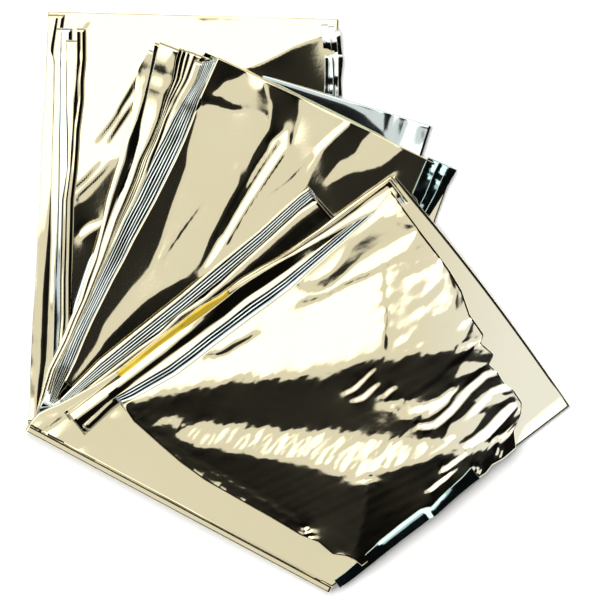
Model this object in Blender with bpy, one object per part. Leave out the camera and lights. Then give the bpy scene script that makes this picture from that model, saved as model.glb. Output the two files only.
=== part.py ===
"""Emergency foil blanket, loosely folded: one pleated strip of metallised film, folded back and
forth into long leaves that fan out about the corner they share. Metres, +Z up, lying on z = 0."""

import math

import bmesh
import bpy
from mathutils import Vector

# Driving dimensions.
SHEET = 0.0010  # thickness of one layer of the strip
PITCH = 0.0014  # rise from one layer to the next one up
BULGE = 0.0022  # how far the tall outer fold stands out past its line
COLUMNS = 16  # steps across the strip
BEND_STEPS = 4  # flat steps round each fold
NODE = "foil_sheet"

# The folds, in the order the strip runs through them. "bearing" (degrees clockwise from +Y) and
# "reach" (metres) lead from the pivot to a fold's left end. From there it runs "width" metres at
# "slant" degrees below +X. "side" is 1 at a leaf's far end and -1 at its end near the pivot.
FOLDS = {
    # name: bearing, reach, slant, width, side
    "flap_end": (55.5, 0.1830, 53.0, 0.1290, 1),
    "front_top": (55.1, 0.2015, 52.7, 0.1308, 1),
    "outer": (0.0, 0.0000, 28.1, 0.1540, -1),
    "back_top": (2.5, 0.1898, 1.5, 0.1312, 1),
    "back_inner": (10.0, 0.0065, 17.0, 0.1310, -1),
    "silver_top": (18.6, 0.1847, 16.8, 0.1285, 1),
    "middle_inner": (21.0, 0.0080, 25.5, 0.1300, -1),
    "middle_top": (24.7, 0.1893, 26.0, 0.1250, 1),
    "narrow_inner": (48.0, 0.0270, 36.8, 0.1330, -1),
    "narrow_end": (49.3, 0.1672, 48.0, 0.1310, 1),
}

# The panels between those folds. "level" counts layers up from the surface. "bow" is how far the
# panel's long edges curve sideways at half length, in metres.
PANELS = [
    # from fold, to fold, level, rows, bow
    ("flap_end", "front_top", 6, 1, 0.0),
    ("front_top", "outer", 7, 22, 0.0),
    ("outer", "back_top", 0, 2, 0.0006),
    ("back_top", "back_inner", 1, 22, -0.0010),
    ("back_inner", "silver_top", 2, 2, 0.0008),
    ("silver_top", "middle_inner", 3, 2, 0.0016),
    ("middle_inner", "middle_top", 4, 2, -0.0010),
    ("middle_top", "narrow_inner", 5, 22, 0.0012),
    ("narrow_inner", "narrow_end", 6, 3, -0.0008),
]

# The loose front pleat turns over the front leaf's left edge and lies on it, short of its ends.
# Along that edge it spans these shares of the leaf's length, counted from the far end.
FRONT_LEVEL = 8
FRONT_START = 0.015
FRONT_STOP = 0.80
FRONT_WIDTH = 0.1300
FRONT_COLUMNS = 16
NEAR_SLANT = 0.0440  # how far its near end draws back at the right edge
FAR_SLANT = 0.0080  # how far its far end draws back at the right edge
CORNER_CUT = 0.0240  # extra draw-back of the far end's rounded right corner
CORNER_START = 0.90  # share of the width where that corner begins

# Where nothing lies beneath, the pile settles to the surface in straight slopes. Each starts and
# ends at a distance from the pivot along a bearing, and comes down by a number of layers.
SETTLES = [
    # bearing, start, end, layers
    (90.0, 0.1425, 0.1810, 2),
    (113.2, 0.1315, 0.1640, 4),
]

# Main creases: soft ridges on the layers that show, as positions from the pivot in metres.
RIDGES = [
    # level, x1, y1, x2, y2, height, half width
    (1, 0.0150, 0.0970, 0.0310, 0.1270, 0.0016, 0.0095),
    (1, 0.1110, 0.1720, 0.1310, 0.1810, 0.0014, 0.0090),
    (5, 0.1150, 0.1470, 0.0840, 0.0880, 0.0018, 0.0100),
    (5, 0.1515, 0.1310, 0.1370, 0.1170, 0.0014, 0.0085),
    (8, 0.0770, 0.0360, 0.1360, 0.0650, 0.0016, 0.0100),
    (8, 0.1360, 0.0650, 0.1760, 0.0790, 0.0013, 0.0090),
    (8, 0.1610, 0.0700, 0.1610, 0.0360, 0.0014, 0.0085),
    (8, 0.0540, 0.0160, 0.1360, 0.0280, 0.0022, 0.0110),
    (8, 0.1360, 0.0280, 0.1990, 0.0410, 0.0020, 0.0110),
    (8, 0.0720, -0.0050, 0.1810, -0.0050, 0.0018, 0.0100),
    (8, 0.1020, -0.0230, 0.1490, -0.0450, 0.0018, 0.0100),
    (8, 0.1900, 0.0630, 0.2130, 0.0140, 0.0016, 0.0085),
]


def clear_scene():
    for obj in list(bpy.data.objects):
        bpy.data.objects.remove(obj, do_unlink=True)


def along(bearing):
    """The unit direction at a bearing, clockwise from +Y."""
    turn = math.radians(bearing)
    return Vector((math.sin(turn), math.cos(turn)))


def level_height(level):
    """The height of a layer's middle surface where the pile is flat."""
    return SHEET / 2 + level * PITCH


def bulge(level_a, level_b):
    """How far the fold between two layers stands out past its line."""
    return min(abs(level_b - level_a) * PITCH / 2, BULGE)


def fold_line(name, set_back):
    """A fold's line as a function from 0 to 1, set back so that the bend ends at its reach."""
    bearing, reach, slant, width, side = FOLDS[name]
    direction = along(90 + slant)
    outward = side * along(slant)
    start = reach * along(bearing) - outward * set_back
    return (lambda share: start + direction * width * share), outward


def panel_rows(index):
    """The rows of points of one panel, from its first fold to its second one."""
    first, second, level, rows, bow = PANELS[index]
    before = PANELS[index - 1][2] if index else level
    after = PANELS[index + 1][2] if index + 1 < len(PANELS) else level
    line_a, _ = fold_line(first, bulge(before, level) + SHEET / 2)
    line_b, _ = fold_line(second, bulge(level, after) + SHEET / 2)
    sideways = (line_a(1) - line_a(0)).normalized()
    shares = [row / rows for row in range(rows + 1)]
    if (first, second) == ("front_top", "outer"):
        pleat = rows - 2
        span = FRONT_STOP - FRONT_START
        shares = [0] + [FRONT_START + span * row / pleat for row in range(pleat + 1)] + [1]
    result = []
    for share in shares:
        shift = sideways * bow * math.sin(math.pi * share)
        row = []
        for column in range(COLUMNS + 1):
            across = column / COLUMNS
            spot = line_a(across).lerp(line_b(across), share) + shift
            row.append((spot.x, spot.y, level_height(level)))
        result.append(row)
    return result


def bend_rows(index):
    """The rows between panel index and the next one, round half an ellipse."""
    name = PANELS[index][1]
    low, high = PANELS[index][2], PANELS[index + 1][2]
    out = bulge(low, high)
    line, outward = fold_line(name, out + SHEET / 2)
    middle = (level_height(low) + level_height(high)) / 2
    rise = (level_height(high) - level_height(low)) / 2
    result = []
    for step in range(1, BEND_STEPS):
        angle = math.pi * step / BEND_STEPS
        row = []
        for column in range(COLUMNS + 1):
            spot = line(column / COLUMNS) + outward * out * math.sin(angle)
            row.append((spot.x, spot.y, middle - rise * math.cos(angle)))
        result.append(row)
    return result


def front_rows(edge):
    """The loose front pleat: the bend over the front leaf's left edge, then the pleat itself."""
    start, stop = Vector(edge[0][:2]), Vector(edge[-1][:2])
    toward_pivot = (stop - start).normalized()
    outward = Vector((toward_pivot.y, -toward_pivot.x))
    length = (stop - start).length
    low, high = level_height(FRONT_LEVEL - 1), level_height(FRONT_LEVEL)
    radius = (high - low) / 2
    columns = []
    for step in range(1, BEND_STEPS + 1):
        angle = math.pi * step / BEND_STEPS
        height = (low + high) / 2 - radius * math.cos(angle)
        shift = outward * radius * math.sin(angle)
        columns.append([(x + shift.x, y + shift.y, height) for x, y, _ in edge])
    for column in range(1, FRONT_COLUMNS + 1):
        across = column / FRONT_COLUMNS
        corner = max(0.0, (across - CORNER_START) / (1 - CORNER_START))
        far = FAR_SLANT * across + CORNER_CUT * corner ** 2
        near = length - NEAR_SLANT * across ** 1.6
        line = []
        for row in range(len(edge)):
            down = far + (near - far) * row / (len(edge) - 1)
            spot = start + toward_pivot * down - outward * FRONT_WIDTH * across
            line.append((spot.x, spot.y, high))
        columns.append(line)
    return columns


def settle(x, y, height):
    """How far a point of the flat pile comes down, in metres. The lowest layer stays where it is,
    and the tall outer fold closes in proportion."""
    outer_level = FRONT_LEVEL - 1
    line, outward = fold_line("outer", bulge(0, outer_level) + SHEET / 2)
    in_outer_bend = (Vector((x, y)) - line(0)).dot(outward) > 1e-6
    share = (height - level_height(0)) / PITCH
    share = share / outer_level if in_outer_bend else min(1.0, share)
    total = 0.0
    for bearing, start, end, layers in SETTLES:
        distance = Vector((x, y)).dot(along(bearing))
        total += layers * PITCH * min(1.0, max(0.0, (distance - start) / (end - start)))
    return total * share


def relief(x, y, height):
    """How far the creases lift a point of the flat pile."""
    lift = 0.0
    for level, x1, y1, x2, y2, tall, half_width in RIDGES:
        if abs(height - level_height(level)) > PITCH / 20:
            continue
        start, run = Vector((x1, y1)), Vector((x2 - x1, y2 - y1))
        share = min(1.0, max(0.0, (Vector((x, y)) - start).dot(run) / run.length_squared))
        distance = (Vector((x, y)) - start - run * share).length
        if distance < half_width:
            lift = max(lift, tall * math.cos(math.pi / 2 * distance / half_width) ** 2)
    return lift


def add_grid(bm, rows):
    """Quads between successive rows of vertices."""
    for row_a, row_b in zip(rows, rows[1:]):
        for a, b, c, d in zip(row_a, row_a[1:], row_b[1:], row_b):
            bm.faces.new((a, b, c, d))


def build_middle_surface():
    """The sheet's middle surface: the strip, its folds and the loose front pleat."""
    bm = bmesh.new()
    rows = []
    front_edge = []
    for index in range(len(PANELS)):
        panel = [[bm.verts.new(point) for point in row] for row in panel_rows(index)]
        if PANELS[index][0] == "front_top":
            front_edge = [row[0] for row in panel[1:-1]]
        rows += panel
        if index + 1 < len(PANELS):
            rows += [[bm.verts.new(point) for point in row] for row in bend_rows(index)]
    add_grid(bm, rows)
    columns = front_rows([tuple(vert.co) for vert in front_edge])
    pleat = [[bm.verts.new(point) for point in column] for column in columns]
    add_grid(bm, [front_edge] + pleat)
    bmesh.ops.recalc_face_normals(bm, faces=bm.faces)
    return bm


def shape_sheet(bm):
    """Cuts the surface along the settling lines, lowers it between them and lifts the creases."""
    for bearing, start, end, _ in SETTLES:
        direction = along(bearing)
        for distance in (start, end):
            spot = direction * distance
            everything = bm.verts[:] + bm.edges[:] + bm.faces[:]
            bmesh.ops.bisect_plane(
                bm, geom=everything, dist=1e-6, plane_co=(spot.x, spot.y, 0), plane_no=(*direction, 0)
            )
    bmesh.ops.triangulate(bm, faces=bm.faces)
    for vert in bm.verts:
        x, y, height = vert.co
        vert.co.z = height - settle(x, y, height) + relief(x, y, height)


def centre_on_base(bm):
    """Moves the sheet so that the middle of its box is over the origin."""
    xs = [vert.co.x for vert in bm.verts]
    ys = [vert.co.y for vert in bm.verts]
    middle = Vector(((min(xs) + max(xs)) / 2, (min(ys) + max(ys)) / 2, 0))
    bmesh.ops.translate(bm, verts=bm.verts, vec=-middle)


def gold_film():
    material = bpy.data.materials.new("gold_film")
    material.use_nodes = True
    shader = material.node_tree.nodes["Principled BSDF"]
    shader.inputs["Base Color"].default_value = (0.83, 0.70, 0.38, 1)
    shader.inputs["Metallic"].default_value = 1.0
    shader.inputs["Roughness"].default_value = 0.18
    return material


def build_foil_sheet():
    bm = build_middle_surface()
    shape_sheet(bm)
    centre_on_base(bm)
    mesh = bpy.data.meshes.new(NODE)
    bm.to_mesh(mesh)
    bm.free()
    mesh.materials.append(gold_film())
    sheet = bpy.data.objects.new(NODE, mesh)
    bpy.context.scene.collection.objects.link(sheet)
    wall = sheet.modifiers.new("thickness", "SOLIDIFY")
    wall.thickness = SHEET
    wall.offset = 0
    wall.use_even_offset = True
    wall.use_quality_normals = True
    return sheet


clear_scene()
build_foil_sheet()
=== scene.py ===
import math

import bmesh
import bpy
import numpy as np
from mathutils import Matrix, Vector


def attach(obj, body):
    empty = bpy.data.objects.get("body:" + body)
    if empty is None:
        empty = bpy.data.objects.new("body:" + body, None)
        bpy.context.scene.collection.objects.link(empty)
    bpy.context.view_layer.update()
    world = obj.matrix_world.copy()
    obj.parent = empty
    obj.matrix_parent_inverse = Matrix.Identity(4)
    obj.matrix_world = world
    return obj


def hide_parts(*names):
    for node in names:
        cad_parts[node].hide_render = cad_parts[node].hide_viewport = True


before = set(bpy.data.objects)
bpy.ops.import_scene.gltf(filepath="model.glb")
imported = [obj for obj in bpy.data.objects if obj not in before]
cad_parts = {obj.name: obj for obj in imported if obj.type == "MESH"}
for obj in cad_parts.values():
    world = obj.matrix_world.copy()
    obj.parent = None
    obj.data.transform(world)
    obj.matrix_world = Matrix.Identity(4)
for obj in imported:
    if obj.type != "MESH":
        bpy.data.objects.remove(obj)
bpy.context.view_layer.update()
print("frame loaded")

# The plan that places are given on, x to the right and y down: metres to a step, steps across, its
# middle, and the camera over it.
view = {
    "step": 0.0004525, "steps": 600, "middleX": 300.0, "middleY": 301.0,
    "aim": (300, 300), "height": 6.0, "sensor": 36,
}

# The pile as packed: heights in metres, places from the pivot, the corner that the leaves share.
pile = {
    "film": 0.00012,
    "lowest": 0.0002,
    "pitch": 0.0014,
    "pivotX": -0.12218,
    "pivotY": -0.05850,
    "relief": 0.74,  # how much of a facet's slope in the tables is drawn
    "leafWidth": 0.131,
    "sides": ((90.0, 0.1425, 0.1810, 2), (113.2, 0.1315, 0.1640, 4)),  # bearing, start, end, layers
    "lead": 1.4,
    "spread": 3.8,
    "round": 0.15,
}

# Folds, in the order the strip runs through them: bearing and reach from the pivot to the left
# end, then slant below +X and width. The last is 1 at a leaf's far end.
folds = {
    "flapEnd": (55.5, 0.1830, 53.0, 0.1290, 1),
    "frontTop": (55.1, 0.2015, 52.7, 0.1308, 1),
    "outer": (0.0, 0.0000, 28.1, 0.1540, -1),
    "backTop": (2.5, 0.1898, 1.5, 0.1312, 1),
    "backInner": (10.0, 0.0065, 17.0, 0.1310, -1),
    "silverTop": (18.6, 0.1847, 16.8, 0.1285, 1),
    "middleInner": (21.0, 0.0080, 25.5, 0.1300, -1),
    "middleTop": (24.7, 0.1893, 26.0, 0.1250, 1),
    "narrowInner": (48.0, 0.0270, 36.8, 0.1330, -1),
    "narrowEnd": (49.3, 0.1672, 48.0, 0.1310, 1),
}

# Guards against nothing and against everything.
tiny, huge = 1e-15, 1e9


# steps on the plan to metres
def spot(px, py):
    return (px - view["middleX"]) * view["step"], (view["middleY"] - py) * view["step"]


def smooth(t):
    t = np.clip(t, 0, 1)
    return t * t * (3 - 2 * t)


def along(bearing):
    turn = math.radians(bearing)
    return np.array((math.sin(turn), math.cos(turn)))


def level(n):
    return pile["lowest"] + n * pile["pitch"]


def foldLine(name, setBack):
    bearing, reach, slant, width, side = folds[name]
    outward = side * along(slant)
    start = np.array((pile["pivotX"], pile["pivotY"])) + reach * along(bearing) - outward * setBack
    return start, along(90 + slant) * width, outward


# how far the pile comes down where nothing lies beneath
def settled(x, y):
    px, py = x - pile["pivotX"], y - pile["pivotY"]
    total = 0
    for bearing, start, end, layers in pile["sides"]:
        toward = along(bearing)
        t = (px * toward[0] + py * toward[1] - start) / (end - start)
        share = np.clip((t + pile["lead"]) / pile["spread"], 0, 1)
        eased = (1 - pile["round"]) * share + pile["round"] * smooth(share)
        total = total + layers * pile["pitch"] * eased
    return total


# Crumpled film: how its creases wander, and how their lengths vary.
crumple = {"turns": (61, 83, 57, 91), "wander": (0.004, 0.003), "lengths": (0.6, 1.9), "creases": 7}


# flat facets between straight creases, longer along the grain if there is one
def facets(x, y, size, slope, seed, grain=None, stretch=1.0):
    if grain is not None:
        way = along(grain)
        x, y = (x * way[0] + y * way[1]) / stretch, x * way[1] - y * way[0]
    rng = np.random.default_rng(seed)
    a, b, c, d = crumple["turns"]
    more, less = crumple["wander"]
    warpX = np.sin(x * a + seed) * more + np.sin(y * b + 2 * seed) * less
    warpY = np.sin(y * c + 3 * seed) * more + np.sin(x * d + seed) * less
    total = 0
    for _ in range(crumple["creases"]):
        turn = rng.uniform(0, math.pi)
        length = size * rng.uniform(*crumple["lengths"])
        phase = rng.uniform(0, 1)
        t = ((x + warpX) * math.cos(turn) + (y + warpY) * math.sin(turn)) / length + phase
        wave = np.abs((t % 1) - 0.5) * 2 - 0.5
        total = total + wave * length * slope / 2 / math.sqrt(crumple["creases"])
    return total


# 1 inside an outline on the plan, easing to 0 across its edge
def insideSoft(x, y, outline, soft):
    places = np.array([spot(*p) for p in outline])
    inside = np.zeros(x.shape, bool)
    nearest = np.full(x.shape, huge)
    for a, b in zip(places, np.roll(places, -1, axis=0)):
        rise = b[1] - a[1] + tiny
        inside ^= ((a[1] > y) != (b[1] > y)) & (x < (b[0] - a[0]) * (y - a[1]) / rise + a[0])
        run = b - a
        t = np.clip(((x - a[0]) * run[0] + (y - a[1]) * run[1]) / (run @ run + tiny), 0, 1)
        nearest = np.minimum(nearest, np.hypot(x - a[0] - run[0] * t, y - a[1] - run[1] * t))
    signed = np.where(inside, nearest, -nearest)
    return smooth(signed / (soft * view["step"]) + 0.5)


# How the facets become heights: what a facet, a flat part and the rest count for, and how hard
# each place is held to its base.
solver = {
    "facet": 12.0, "flat": 4.0, "pull": 3e-5, "hiddenPull": 0.002, "hiddenEdge": 10, "hiddenShare": 0.98,
    "passes": 260, "coarseOver": 40, "least": 1e-30, "enough": 1e-22,
}


# the heights whose steps along rows and columns come nearest to those wanted
def solveHeights(gx, gy, wx, wy, pull):
    rows, columns = pull.shape
    z = np.zeros((rows, columns))
    if min(rows, columns) > solver["coarseOver"]:
        half = (slice(None, None, 2), slice(None, None, 2))
        r2, c2 = z[half].shape
        alongRows = [2 * gx[half][:r2, : c2 - 1], wx[half][:r2, : c2 - 1]]
        alongColumns = [2 * gy[half][: r2 - 1, :c2], wy[half][: r2 - 1, :c2]]
        coarse = solveHeights(alongRows[0], alongColumns[0], alongRows[1], alongColumns[1], pull[half] * 4)
        z = np.repeat(np.repeat(coarse, 2, 0), 2, 1)[:rows, :columns]
        z = np.pad(z, ((0, rows - z.shape[0]), (0, columns - z.shape[1])), mode="edge")

    def spread(out, dx, dy):
        out[:, 1:] += dx
        out[:, :-1] -= dx
        out[1:] += dy
        out[:-1] -= dy
        return out

    def apply(h):
        return spread(pull * h, wx * (h[:, 1:] - h[:, :-1]), wy * (h[1:] - h[:-1]))

    residual = spread(np.zeros_like(z), wx * gx, wy * gy) - apply(z)
    direction = residual.copy()
    power = (residual**2).sum()
    for _ in range(solver["passes"]):
        step = apply(direction)
        scale = power / max((direction * step).sum(), solver["least"])
        z += scale * direction
        residual -= scale * step
        fresh = (residual**2).sum()
        if fresh < solver["enough"]:
            break
        direction = residual + direction * fresh / power
        power = fresh
    return z


# the mean of neighbours along columns (0) or rows (1)
def stepped(values, axis):
    return (values[1:] + values[:-1]) / 2 if axis == 0 else (values[:, 1:] + values[:, :-1]) / 2


# Streaks that feather a facet's edge: lengths in steps and shares, and how each length swings.
feather = {
    "waves": ((23.0, 0.9), (9.0, 0.8), (4.3, 0.7), (2.6, 0.5)),
    "swing": 0.35, "swingLength": 2.7, "whole": 1.6, "phases": (9, 6),
}


# places pushed to and fro along a bearing, so that edges read there come out in streaks
def feathered(x, y, bearing, amount, seed):
    way = along(bearing)
    across = (x * way[1] - y * way[0]) / view["step"]
    rng = np.random.default_rng(seed)
    push = 0
    for length, part in feather["waves"]:
        phase, swing = (rng.uniform(0, end) for end in feather["phases"])
        swung = np.sin(across / length / feather["swingLength"] + swing)
        t = across / length + phase + feather["swing"] * swung
        push = push + part * (np.abs(t % 1 - 0.5) * 4 - 1)
    push = push * amount * view["step"] / feather["whole"]
    return way[0] * push, way[1] * push


# Heights of a sheet whose facets lean as the table says and which lies near its base. A row of
# tilts: downhill bearing, slope, softness in steps, outline, and how far its edge is feathered.
def leant(x, y, base, tilts, hidden=(), pull=solver["pull"], pins=0, warp=None):
    sx, sy = np.zeros(x.shape), np.zeros(x.shape)
    weight = np.ones(x.shape)
    pushX, pushY = feathered(x, y, *warp) if warp else (0, 0)
    for bearing, slope, soft, outline, *more in tilts:
        far = more[0] if more else 1
        share = insideSoft(x + far * pushX, y + far * pushY, outline, soft)
        toward = along(bearing)
        sx = sx * (1 - share) - toward[0] * slope * pile["relief"] * share
        sy = sy * (1 - share) - toward[1] * slope * pile["relief"] * share
        weight = weight * (1 - share) + solver["facet" if slope else "flat"] * share
    cover = np.zeros(x.shape)
    for outline in hidden:
        cover = np.maximum(cover, insideSoft(x, y, outline, solver["hiddenEdge"]))
    weight = weight * (1 - solver["hiddenShare"] * cover)
    gx = stepped(sx, 1) * (x[:, 1:] - x[:, :-1]) + stepped(sy, 1) * (y[:, 1:] - y[:, :-1])
    gy = stepped(sx, 0) * (x[1:] - x[:-1]) + stepped(sy, 0) * (y[1:] - y[:-1])
    gx -= (base[:, 1:] - base[:, :-1]) * (1 - stepped(cover, 1))
    gy -= (base[1:] - base[:-1]) * (1 - stepped(cover, 0))
    anchor = pull + solver["hiddenPull"] * cover + pins
    return base + solveHeights(gx, gy, stepped(weight, 1), stepped(weight, 0), anchor)


# a unit grid: u across, v along
def gridMesh(name, rows, columns):
    bm = bmesh.new()
    bmesh.ops.create_grid(bm, x_segments=columns, y_segments=rows, size=0.5)
    mesh = bpy.data.meshes.new(name)
    bm.to_mesh(mesh)
    bm.free()
    return mesh


def readCoords(mesh):
    co = np.empty(len(mesh.vertices) * 3, dtype=np.float32)
    mesh.vertices.foreach_get("co", co)
    return co.reshape(-1, 3).astype(float)


def writeCoords(mesh, x, y, z):
    co = np.stack([x.ravel(), y.ravel(), z.ravel()], axis=1)
    mesh.vertices.foreach_set("co", co.astype(np.float32).ravel())
    mesh.update()


# faces out: the faces round a given vertex look up
def orient(mesh, row, column, columns):
    mesh.update()
    if mesh.vertices[row * (columns + 1) + column].normal.z < 0:
        mesh.flip_normals()


def finishSheet(mesh, front, back, accent=None):
    obj = bpy.data.objects.new(mesh.name, mesh)
    bpy.context.scene.collection.objects.link(obj)
    for material in (front, back, front) + ((accent, back) if accent else ()):
        mesh.materials.append(material)
    mesh.shade_smooth()
    wall = obj.modifiers.new("film", "SOLIDIFY")
    wall.thickness = pile["film"]
    wall.offset = -1
    wall.material_offset = 1
    wall.material_offset_rim = 0
    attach(obj, "root")
    return obj


# the share of each row's run at which it meets a line on the plan
def crossing(left, run, points):
    places = np.array([spot(*p) for p in points])
    shares = np.zeros(len(left))
    for i, (start, way) in enumerate(zip(left, run)):
        best = (huge, 0.0)
        for a, b in zip(places, places[1:]):
            d = b - a
            cross = way[0] * d[1] - way[1] * d[0]
            if abs(cross) < tiny:
                continue
            u = ((a[0] - start[0]) * d[1] - (a[1] - start[1]) * d[0]) / cross
            t = ((a[0] - start[0]) * way[1] - (a[1] - start[1]) * way[0]) / cross
            miss = max(-t, t - 1, 0)
            if miss < best[0]:
                best = (miss, u)
        shares[i] = best[1]
    return shares


# gives the place at a share of the way along a line on the plan
def evenly(points):
    places = np.array([spot(*p) for p in points])
    gone = np.concatenate([[0], np.cumsum(np.linalg.norm(np.diff(places, axis=0), axis=1))])
    gone = gone / gone[-1]
    return lambda share: (np.interp(share, gone, places[:, 0]), np.interp(share, gone, places[:, 1]))


# Every sheet's places and heights, for what lies over or under it.
grids = {}

# The strip of panels: rows that ease into a shaped panel, rows that bow, spacing of plain rows, how
# far back the inner bends stand, and how close a sheet may come to the layer below.
strip = {
    "eased": 9, "bowed": 60, "plain": 0.006, "inner": 0.0007, "bendRows": 10, "sagEase": 9,
    "clear": 0.0004, "ease": 0.0002, "upRow": 20, "upColumn": 40,
}


# heights eased so that they stay over the n-th level
def keptAbove(z, n, x, y):
    floor = level(n) - (settled(x, y) if n else 0) + strip["clear"]
    return floor + strip["ease"] * np.logaddexp(0, (z - floor) / strip["ease"])


# a sheet through its stations; from row first on, its facets lean as its tilts say
def stripSheet(name, stations, values, first, last=None):
    rows, columns, eased = len(stations), values["columns"], strip["eased"]
    mesh = gridMesh(name, rows - 1, columns)
    co = readCoords(mesh)
    u = (co[:, 0] + 0.5).reshape(rows, columns + 1)
    v = (co[:, 1] + 0.5).reshape(rows, columns + 1)
    row = np.rint(v * (rows - 1)).astype(int)
    lefts, runs, heights, shares = (
        np.array([s[key] for s in stations]) for key in ("left", "run", "z", "settle")
    )
    if "edge" in values:
        share = crossing(lefts, runs, values["edge"])
        share[: first - eased] = 0
        share[first - eased : first] = share[first]
        u = share[row] + (1 - share[row]) * u
    x = lefts[row][..., 0] + runs[row][..., 0] * u
    y = lefts[row][..., 1] + runs[row][..., 1] * u
    if "bow" in values:
        amount, bearing = values["bow"]
        near = np.clip(1 - np.abs(row - first) / strip["bowed"], 0, 1) * amount
        near = near * np.sin(math.pi * np.clip(u, 0, 1))
        x, y = x + along(bearing)[0] * near, y + along(bearing)[1] * near
    z = heights[row] - settled(x, y) * shares[row]
    body = slice(first, last)
    pins = np.zeros(x[body].shape)
    pins[:1] = values.get("hold", 1.0)
    if last:
        pins[-1:] = 1.0
    resting = z[first].copy()
    z[body] = leant(
        x[body], y[body], z[body], values["tilts"], values["hidden"],
        pull=values.get("pull", solver["pull"]), pins=pins, warp=values.get("warp"),
    )
    for back in range(1, eased + 1):
        z[first - back] += (z[first] - resting) * (1 - back / (eased + 1))
    z[body] = keptAbove(z[body], values.get("above", 0), x[body], y[body])
    z = np.maximum(z, pile["lowest"])
    writeCoords(mesh, x, y, z)
    grids[name] = (x, y, z)
    orient(mesh, first + strip["upRow"], strip["upColumn"], columns)
    return mesh


# rows from one fold to the next
def panelStations(foldA, foldB, n, spacing, setA, setB, sag=0.0):
    startA, runA, _ = foldLine(foldA, setA)
    startB, runB, _ = foldLine(foldB, setB)
    length = np.linalg.norm(startB + runB / 2 - startA - runA / 2)
    count = max(2, int(length / spacing))
    result = []
    for t in np.arange(count + 1) / count:
        z = level(n) - sag * float(smooth(min(t, 1 - t) * strip["sagEase"]))
        left, run = startA + (startB - startA) * t, runA + (runB - runA) * t
        result.append({"left": left, "run": run, "z": z, "settle": 1.0 if n else 0.0})
    return result


# half round an end, wider than it is deep
def bendStations(fold, low, high, out):
    start, run, outward = foldLine(fold, out + pile["film"])
    middle, rise = (level(low) + level(high)) / 2, (level(high) - level(low)) / 2
    result = []
    for i in range(1, strip["bendRows"]):
        angle = math.pi * i / strip["bendRows"]
        z = middle - rise * math.cos(angle)
        share = 1.0 if low else (z - level(0)) / (level(high) - level(0))
        left = start + outward * out * math.sin(angle)
        result.append({"left": left, "run": run, "z": z, "settle": share})
    return result


# The film's look: clouds of more and less gloss, a paler right margin, and a fine grain.
look = {
    "clouds": 34, "cloudDetail": 3, "cloudEnds": (0.3, 0.7), "gloss": (0.7, 1.4),
    "marginEnds": (0.040, 0.105), "grain": 700, "grainDetail": 2, "bump": 0.12, "bumpDepth": 0.00005,
}


def filmMaterial(name, colour, rough, tint, margin=None):
    material = bpy.data.materials.new(name)
    material.use_nodes = True
    tree = material.node_tree
    new, link = tree.nodes.new, tree.links.new
    shader = tree.nodes["Principled BSDF"]
    shader.inputs["Metallic"].default_value = 1.0
    coords = new("ShaderNodeTexCoord").outputs["Object"]

    def cloudy(scale, detail):
        node = new("ShaderNodeTexNoise")
        node.inputs["Scale"].default_value = scale
        node.inputs["Detail"].default_value = detail
        link(coords, node.inputs["Vector"])
        return node.outputs["Fac"]

    def mixed(share, first, second):
        node = new("ShaderNodeMix")
        node.data_type = "RGBA"
        link(share, node.inputs["Factor"])
        if isinstance(first, tuple):
            node.inputs["A"].default_value = (*first, 1)
        else:
            link(first, node.inputs["A"])
        node.inputs["B"].default_value = (*second, 1)
        return node.outputs["Result"]

    cloud = cloudy(look["clouds"], look["cloudDetail"])
    ramp = new("ShaderNodeMapRange")
    ramp.inputs["From Min"].default_value, ramp.inputs["From Max"].default_value = look["cloudEnds"]
    ramp.inputs["To Min"].default_value = rough * look["gloss"][0]
    ramp.inputs["To Max"].default_value = rough * look["gloss"][1]
    link(cloud, ramp.inputs["Value"])
    link(ramp.outputs["Result"], shader.inputs["Roughness"])
    shade = mixed(cloud, colour, tint)
    if margin:
        split = new("ShaderNodeSeparateXYZ")
        link(coords, split.inputs["Vector"])
        share = new("ShaderNodeMapRange")
        share.interpolation_type = "SMOOTHSTEP"
        share.inputs["From Min"].default_value, share.inputs["From Max"].default_value = look["marginEnds"]
        link(split.outputs["X"], share.inputs["Value"])
        shade = mixed(share.outputs["Result"], shade, margin)
    link(shade, shader.inputs["Base Color"])
    lift = new("ShaderNodeBump")
    lift.inputs["Strength"].default_value = look["bump"]
    lift.inputs["Distance"].default_value = look["bumpDepth"]
    link(cloudy(look["grain"], look["grainDetail"]), lift.inputs["Height"])
    link(lift.outputs["Normal"], shader.inputs["Normal"])
    return material


gold = filmMaterial("goldFilm", (0.85, 0.76, 0.49), 0.05, (0.87, 0.79, 0.54), margin=(0.99, 0.955, 0.78))
# The deeper amber gold is painted reflection: the colour of light bounced between gold layers, put into the
# film's base colour.
paintedInterreflectionGold = filmMaterial("paintedInterreflectionGoldFilm", (0.54, 0.37, 0.03), 0.08, (0.62, 0.45, 0.07))
silver = filmMaterial("silverFilm", (0.75, 0.82, 0.80), 0.08, (0.68, 0.77, 0.75))
# The teal film is partly the silver film's own teal tint and partly a painted teal cast of its dark
# reflections and glints.
tealTintAndReflection = filmMaterial("tealTintAndReflectionFilm", (0.52, 0.74, 0.71), 0.08, (0.46, 0.68, 0.66))

# The studio as the film mirrors it: a pale ceiling straight above, a bright wall on the key side,
# dark curtains round the rest and a pale rim low down. A fade's ends are heights on the unit sky.
sky = {
    "flat": 1.06,
    "dark": (0.005, 0.034),
    "darkFade": (0.950, 0.9821),
    "bright": 2.35,
    "rim": (0.20, 0.62),
    "rimKey": 0.58,
    "rimClouds": (3.0, 1.0),
    "rimCloudEnds": (0.38, 0.62),
    "wallFoot": (0.50, 0.74),
    "keyBearing": -42,
    "ceilingFade": (0.9821, 0.9891),
    "wallFade": (0.015, 0.088),
    "rimFade": (0.50, 0.25),
    "backdrop": 0.95,
}
lamp = {"size": 2.2, "energy": 62, "place": (-0.3, 0.3, 2.6)}
ground = {"size": 6, "colour": (0.93, 0.93, 0.93, 1), "rough": 0.9, "shine": 0.1}


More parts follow.
